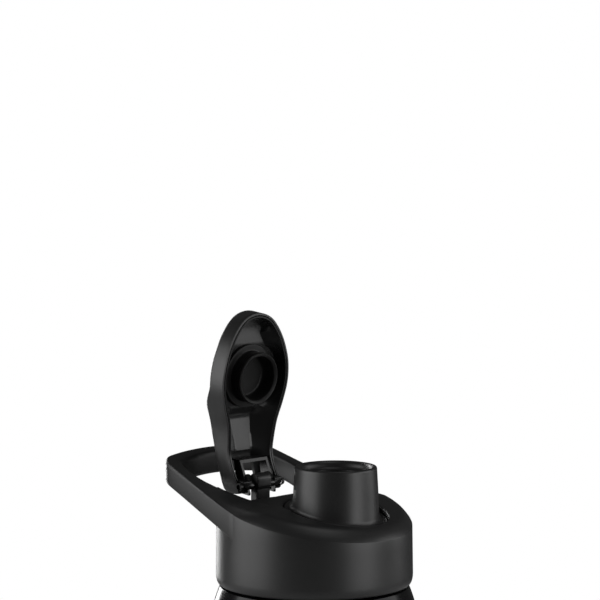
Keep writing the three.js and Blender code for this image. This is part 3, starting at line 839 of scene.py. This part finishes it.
def sideCurve():  # (across, along, direction) down one side of the cap, on a smooth curve through flipSide
    tipSide = flipSide[-1]
    points = [Vector(p) for p in flipSide + [(0.0, flipLength), (-tipSide[0], tipSide[1])]]
    last = len(flipSide) / (len(flipSide) + 1)
    made = []
    for step in range(cap["sideSteps"] + 1):
        spot = (len(points) - 1) * last * step / cap["sideSteps"]
        index = min(int(spot), len(points) - 2)
        t = spot - index
        p0 = points[max(index - 1, 0)]
        p1, p2 = points[index], points[index + 1]
        p3 = points[min(index + 2, len(points) - 1)]
        v0, v1 = (p2 - p0) / 2, (p3 - p1) / 2
        cube, square = 2 * p1 - 2 * p2 + v0 + v1, -3 * p1 + 3 * p2 - 2 * v0 - v1
        point = cube * t ** 3 + square * t * t + v0 * t + p1
        direction = (cube * 3 * t * t + square * 2 * t + v0).normalized()
        made.append((point, direction))
    return made


capSide = sideCurve()


def capRing(inset, height, squeeze=1.0):
    # the cap's plan moved inward by inset and drawn in towards its middle line by squeeze
    depth = inset if callable(inset) else (lambda u: inset)
    right = []
    for point, direction in capSide:
        d = depth(point.y)
        right.append((point.x - d * direction.y, point.y + d * direction.x))
    right[-1] = (0.0, right[-1][1])
    heelInset = depth(cap["heel"])
    low, wide = cap["heel"] + heelInset, flipSide[0][0] - heelInset
    corner = cap["heelCorner"] - max(0.0, heelInset - cap["wall"] - cap["gap"])
    heel = [quadratic((wide - corner, low), (wide, low), (wide, low + corner), t)
            for t in (0, 0.25, 0.5, 0.75)]
    heel = [((wide - corner) * 0.5, low)] + heel
    half = heel + right
    plan = [(0.0, low)] + half + [(-x, y) for x, y in reversed(half[:-1])]
    ring = []
    for x, y in plan:
        z = height(y, squeeze)
        front = cap["heelFront"] + heelInset - cap["heelSlant"] * z
        ring.append((x * squeeze, max(y, front), z))
    return ring


def capColumn(name, inset):  # the cap's plan as a tall block
    return loft(name, [capRing(inset, lambda u, k: z) for z in (-20.0, 8.0, 30.0)], capped=True)


openMatrix = (Matrix.Translation((0, hingeY * mm, hingeZ * mm)) @ Matrix.Rotation(-openAngle, 4, "X")
              @ Matrix.Rotation(math.pi, 4, "Z"))


def swingOpen(piece):
    makeActive(piece)
    piece.matrix_world = openMatrix
    bpy.ops.object.transform_apply(location=True, rotation=True, scale=True)
    return piece


window = {"half": 6.6, "end": 8.4, "border": 1.1, "slope": 0.54, "foot": 0.17, "heelIn": 1.2}


def windowTool():
    half = window["half"]
    return block("windowTool", (-half, cap["heel"] - 8, -20), (half, window["end"], 30))


cover = {"skin": 1.1, "edgeRound": 1.5, "crown": 0.45, "inside": [(0.4, 0.0), (0.1, 0.15), (0.0, 0.6)],
         "rimRound": 0.35, "bossOverlap": 0.4, "bossInset": 0.02, "bossSides": 40}


def coverBosses():  # short bars on the pin's axis, trimmed to the cover's outside
    start, end = flipSide[0][0] - cap["wall"] - cover["bossOverlap"], flipSide[0][0] + 1
    made, other = (rod("boss", cap["boss"], end - start, (side * (start + end) / 2, 0, 0), 0.0,
                       cover["bossSides"]) for side in (1, -1))
    column = capColumn("column", cover["bossInset"])
    join(made, other)
    return boolean(made, column, "INTERSECT")


def makeCover():
    wall, edgeRound, rimRound = cap["wall"], cover["edgeRound"], cover["rimRound"]

    def ceiling(u, k):
        return topAt(u) - cover["skin"]

    def crowned(u, k):
        return topAt(u) + cover["crown"] * (1 - k * k)

    rings = [capRing(wall + 1.0, ceiling, k) for k in reversed(squeezes)]
    for inward, drop in cover["inside"]:
        rings.append(capRing(wall + inward, lambda u, k: ceiling(u, k) - drop))
    rings += [capRing(wall, rimPlus(0.06)), capRing(wall - 0.05, rimPlus(0.0)), capRing(0.2, rimPlus(0.0)),
              capRing(0.05, rimPlus(0.08)), capRing(0.0, rimPlus(rimRound))]
    for share in (0.3, 0.65, 1.0):
        rings.append(capRing(0.0, lambda u, k: rimAt(u) + rimRound
                             + share * (topAt(u) - edgeRound - rimAt(u) - rimRound)))
    for sine, cosine in quarterTurn(6)[1:]:
        rings.append(capRing(edgeRound * (1 - cosine), lambda u, k: topAt(u) - edgeRound * (1 - sine)))
    rings += [capRing(edgeRound + 0.5, crowned, k) for k in squeezes]
    made = loft("flipCover", rings)
    join(made, coverBosses())
    cut(made, windowTool(), pinTool(40))
    return finishPiece(swingOpen(made), casingBlack, "flip", "flip_cover")


def planHalf(u):  # half width of the cap's plan
    for (first, _), (second, _) in zip(capSide, capSide[1:]):
        if first.y <= u <= second.y:
            return first.x + (second.x - first.x) * (u - first.y) / (second.y - first.y)
    return capSide[0][0].x if u < capSide[0][0].y else 0.0


# the tray's floor slopes down its neck to a step at the foot and up at its tip
tray = {"wall": 0.7, "floor": 12.9, "floorThick": 0.9, "thick": 0.6, "neckEnd": 26.0, "neckSlope": 0.3,
        "neckDeeper": 2.5, "deeperOver": 3, "neckFoot": 11.9, "neckStep": 0.6, "stepOver": 0.6,
        "footSlope": 0.08, "tipFrom": 55, "tipSlope": 0.15, "underTop": 2.1, "tipDepth": 4.0,
        "sideLeast": 1.95, "sideMost": 9.0, "rimLow": 0.25, "pocketEnd": 9.17,
        "cheekFrom": (-15, -9), "cheekTop": 5.3, "cheekInset": 0.33, "cheekRound": 0.3,
        "webFrom": 6.0, "webTop": 12.3, "webOverlap": 0.8, "webInset": 0.15, "drill": 21,
        "floorHalf": [(6.5, 9.9), (9.2, 4.4), (12.9, 4.4), (26, 5.85), (27, 7.2), (28, 9.1), (29, 10.6),
                      (30, 11.8), (31, 12.7), (33, 14.2), (37, 16.1), (42.3, 16.9), (47, 16.2), (51, 14.3),
                      (54, 11.8), (56.5, 8.7), (64, 4.4)]}
ears = {"from": 4.3, "reach": 3.5, "lean": 0.75, "overlap": 0.5, "steps": 20}


def sideDepth(u):  # how far in from the edge the tray's sloping side reaches its floor
    points = tray["floorHalf"]
    if u >= points[-1][0]:
        return tray["tipDepth"]
    floorHalf = points[0][1]
    for (u0, half0), (u1, half1) in zip(points, points[1:]):
        if u0 <= u <= u1:
            floorHalf = half0 + (half1 - half0) * (u - u0) / (u1 - u0)
    return min(max(planHalf(u) - floorHalf, tray["sideLeast"]), tray["sideMost"])


def ear(low, high):  # holds the pin beside the knuckle and slants up from it
    rings = []
    lean = Matrix.Rotation(ears["lean"], 2)
    steps = ears["steps"]
    for x, inset in ((low, 0.4), (low + 0.12, 0.12), (low + 0.4, 0.0), (high - 0.4, 0.0), (high, 0.0)):
        radius = cap["boss"] - inset
        ring = []
        for shift, first in ((0.0, 0), (ears["reach"], steps)):
            for step in range(first, first + steps + 1):
                angle = math.pi * (0.5 + step / steps)
                point = lean @ Vector((shift + radius * math.cos(angle), radius * math.sin(angle)))
                ring.append((x, point.x, point.y))
        rings.append(ring)
    return loft("ear", rings, capped=True)


def trayFloor(u, k):
    foot = max(0.0, tray["neckFoot"] - u)
    neck = tray["neckSlope"] * max(0.0, tray["neckEnd"] - max(u, tray["neckFoot"]))
    over = tray["deeperOver"]
    deeper = tray["neckDeeper"] * clamp((tray["neckEnd"] + over - u) / over)
    step = tray["neckStep"] * min(1.0, foot / tray["stepOver"]) + tray["footSlope"] * foot
    tip = tray["tipSlope"] * max(0.0, u - tray["tipFrom"])
    return min(tray["floor"] - neck + deeper + step + tip, topAt(u) - tray["underTop"])


def trayBack(u, k):
    return trayFloor(u, k) + tray["thick"]


def traySkin():
    inset = cap["wall"] + cap["gap"]
    inner = inset + tray["wall"]
    rimLow = tray["rimLow"]
    rings = [capRing(inset + 1.0, trayBack, k) for k in reversed(squeezes)]
    rings += [capRing(inset + 0.3, trayBack), capRing(inset, lambda u, k: trayBack(u, k) - 0.3)]
    rings += [capRing(inset, rimPlus(0.06)), capRing(inset + 0.05, rimPlus(0.0))]
    rings += [capRing(inner - 0.05, rimPlus(0.0)), capRing(inner, rimPlus(0.08))]
    for share in (0.2, 0.45, 0.7, 0.9, 1.0):
        def depth(u):
            return inner + (sideDepth(u) - inner) * share

        def height(u, k):
            return rimAt(u) + rimLow + (trayFloor(u, k) - rimAt(u) - rimLow) * min(1.0, share * 1.02)

        rings.append(capRing(depth, height))
    rings += [capRing(lambda u: sideDepth(u) + 0.3, trayFloor, k) for k in squeezes]
    return loft("flipTray", rings)


def windowEdging():  # a block round the window, cut back to a slope below and above
    half, end = window["half"] + window["border"], window["end"] + window["border"]
    low, foot = cap["heel"] + window["heelIn"], window["foot"] - cap["boss"]
    slope, rise = window["slope"], tray["neckSlope"]
    back = tray["floor"] + tray["floorThick"] - rise * tray["neckEnd"]
    side = [(low, foot), (foot / slope, foot), (end, slope * end), (end, back + rise * end),
            (low, back + rise * low)]
    return loft("edging", [[(x, y, z) for y, z in side] for x in (-half, half)], capped=True)


def hingeTrim():  # edging, cheeks and web round the window, with an ear at each side of the knuckle
    half, end = window["half"], window["end"]
    trim = windowEdging()
    (across, along), overlap, edge = tray["cheekFrom"], tray["webOverlap"], tray["webInset"]
    cheeks = block("cheeks", (across, along, -cap["boss"] + 0.1),
                   (-across, cap["boss"] + 0.6, tray["cheekTop"]), tray["cheekRound"])
    boolean(cheeks, capColumn("column", cap["wall"] + cap["gap"] + tray["cheekInset"]), "INTERSECT")
    web = block("web", (-half - overlap, end + edge, tray["webFrom"]),
                (half + overlap, end + window["border"] - edge, tray["webTop"]))
    join(trim, cheeks, web)
    cut(trim, windowTool())
    for low, high in ((ears["from"], half + ears["overlap"]), (-half - ears["overlap"], -ears["from"])):
        join(trim, ear(low, high))
    return cut(trim, pinTool(tray["drill"]))


def makeTray():
    made = traySkin()
    pocket = capColumn("pocket", cap["wall"] + cap["gap"] + tray["wall"] + 0.05)
    cut(pocket, block("keep", (-30, tray["pocketEnd"], -30), (30, 90, 40)))
    cut(made, pocket)
    trim = hingeTrim()
    cut(made, windowTool())
    join(made, trim)
    return finishPiece(swingOpen(made), innerBlack, "flip", "flip_frame")


# stopper under the cap
plug = {"radius": 10.6, "wall": 1.6, "lip": 5.3, "flange": 13.0, "thick": 1.2, "stem": 3.0, "sides": 96}


def makePlug():
    top = tray["floor"] - cap["gap"]
    low = top - plug["thick"]
    radius, lip, flange, stem = plug["radius"], plug["lip"], plug["flange"], plug["stem"]
    stemTop = tray["floor"] + tray["floorThick"]
    inner = radius - plug["wall"]
    profile = rounded([(0, top - 0.1, 0), (inner - 0.6, top - 0.1, 1.0), (inner, low - 1.5, 1.0),
                       (inner, lip + 0.75, 0.3), (radius - 0.4, lip, 0.2), (radius, lip + 0.4, 0.2),
                       (radius, lip + 1.8, 0.3), (radius - 0.45, lip + 2.3, 0.3), (radius - 0.3, low, 0.6),
                       (flange, low, 0.4), (flange, top, 0.3), (stem, top, 0.2), (stem, stemTop, 0.4),
                       (0, stemTop, 0)])
    made = turned("spoutPlug", profile, cap["plugAlong"], plug["sides"])
    return finishPiece(swingOpen(made), sealBlack, "flip", "spout_plug")


pinLook = {"round": 0.35, "sides": 32}


def makePin():
    low, high = corners("hinge_pin")
    radius = (high.z - low.z) / 2
    pin = rod("hingePin", radius, high.x - low.x, (0, hingeY, hingeZ), radius * pinLook["round"],
              pinLook["sides"])
    return finishPiece(pin, shadedPinSteel, "flip", "hinge_pin")


# mixing ball, wound from pole to pole
ball = {"wire": 1.1, "turns": 9, "pole": 0.19, "stepsPerTurn": 30, "wireSides": 8, "wireEnd": 0.55,
        "smoothAngle": 60}


def makeBall():
    low, high = corners("mixer_ball")
    centre = (low + high) / 2
    radius = high.x - centre.x - ball["wire"]
    steps = ball["turns"] * ball["stepsPerTurn"]
    path = []
    for step in range(steps + 1):
        t = step / steps
        polar = ball["pole"] + (math.pi - 2 * ball["pole"]) * t
        turn = 2 * math.pi * ball["turns"] * t
        around = math.sin(polar)
        path.append(Vector((around * math.cos(turn), around * math.sin(turn), -math.cos(polar))))
    rings = []
    for index, out in enumerate(path):
        along = (path[min(index + 1, steps)] - path[max(index - 1, 0)]).normalized()
        side = along.cross(out).normalized()
        end = ball["wireEnd"] if index in (0, steps) else 1.0
        ring = []
        for step in range(ball["wireSides"]):
            angle = 2 * math.pi * step / ball["wireSides"]
            offset = (out * math.cos(angle) + side * math.sin(angle)) * ball["wire"] * end
            ring.append(Vector((0, 0, centre.z)) + out * radius + offset)
        rings.append(ring)
    made = loft("mixerBall", rings, capped=True)
    return finishPiece(made, wireSteel, "ball", "mixer_ball", ball["smoothAngle"])


makeBottle()
makeLidShell()
makeLiner()
makeGasket()
makeCover()
makeTray()
makePlug()
makePin()
makeBall()

studio = {"floorRadius": 0.55, "floorThick": 0.01, "floorShade": 0.8, "fibreShade": 0.02,
          "fibreScale": 300, "floorRoughness": 0.9, "ambient": 0.045, "aim": 0.2}


def makeFloor():
    floor = startPiece("floor", bpy.ops.mesh.primitive_circle_add, vertices=128,
                       radius=studio["floorRadius"], fill_type="NGON")
    bpy.ops.mesh.extrude_region_move(TRANSFORM_OT_translate={"value": (0, 0, -studio["floorThick"])})
    selectAll()
    bpy.ops.mesh.normals_make_consistent(inside=False)
    bpy.ops.object.mode_set(mode="OBJECT")
    board = materialBoard("floorPaper")
    fibres = board.noise(studio["fibreScale"], 4.0)
    shade = studio["floorShade"]
    floor.data.materials.append(board.finish({
        "Base Color": board.blend(fibres, grey(shade - studio["fibreShade"]), grey(shade)),
        "Roughness": studio["floorRoughness"],
    }))


def makeWorld():  # white to the camera and dim to everything else
    world = bpy.data.worlds.new("studio")
    bpy.context.scene.world = world
    board = Board(world)
    seen = board.make("ShaderNodeLightPath", output="Is Camera Ray")
    levels = {"Value": seen, "To Min": studio["ambient"], "To Max": 1.0}
    strength = board.make("ShaderNodeMapRange", None, levels)
    background = board.make("ShaderNodeBackground", None, {"Color": (1, 1, 1, 1), "Strength": strength})
    board.make("ShaderNodeOutputWorld", None, {"Surface": background})


viewAngle = math.radians(46)  # the camera stands this far to the left of the spout's side
softboxes = [  # name, bearing, elevation, distance, width, height, power
    ("keyRight", 58, 4, 1.1, 0.65, 0.7, 4.0),
    ("panelRight", 96, 14, 1.1, 0.7, 0.62, 2.3),
    ("lowRight", 112, -2, 1.1, 0.25, 0.3, 0.4),
    ("keyLeft", -78, 8, 1.1, 1.1, 0.8, 8.3),
    ("rimLeft", -152, 8, 1.2, 0.3, 0.9, 6),
    ("topSoft", 60, 75, 1.2, 0.5, 0.5, 1.1),
]


def addSoftbox(name, bearing, elevation, distance, width, height, power):
    # bearing is measured to the right of the camera's direction, as seen from the bottle
    angle, tilt, aim = math.radians(bearing) - viewAngle, math.radians(elevation), studio["aim"]
    flat = distance * math.cos(tilt)
    place = Vector((math.sin(angle) * flat, -math.cos(angle) * flat, aim + distance * math.sin(tilt)))
    data = bpy.data.lights.new(name, "AREA")
    data.shape = "RECTANGLE"
    data.size, data.size_y = width, height
    data.energy = power
    lamp = bpy.data.objects.new(name, data)
    bpy.context.scene.collection.objects.link(lamp)
    lamp.location = place
    lamp.rotation_euler = (Vector((0, 0, aim)) - place).to_track_quat("-Z", "Y").to_euler()


makeFloor()
makeWorld()
for softbox in softboxes:
    addSoftbox(*softbox)
print("studio ready")

view = {"place": (-0.7033, -0.6792, 0.3620), "pitch": 4.564, "yaw": -45.664, "lens": 150, "sensor": 36}
cameraData = bpy.data.cameras.new("camera")
cameraData.lens = view["lens"]
cameraData.sensor_width = view["sensor"]
camera = bpy.data.objects.new("camera", cameraData)
bpy.context.scene.collection.objects.link(camera)
camera.location = view["place"]
camera.rotation_euler = (math.radians(90 - view["pitch"]), 0, math.radians(view["yaw"]))
bpy.context.scene.camera = camera
bpy.context.scene.view_settings.view_transform = "Standard"

print("scene ready")
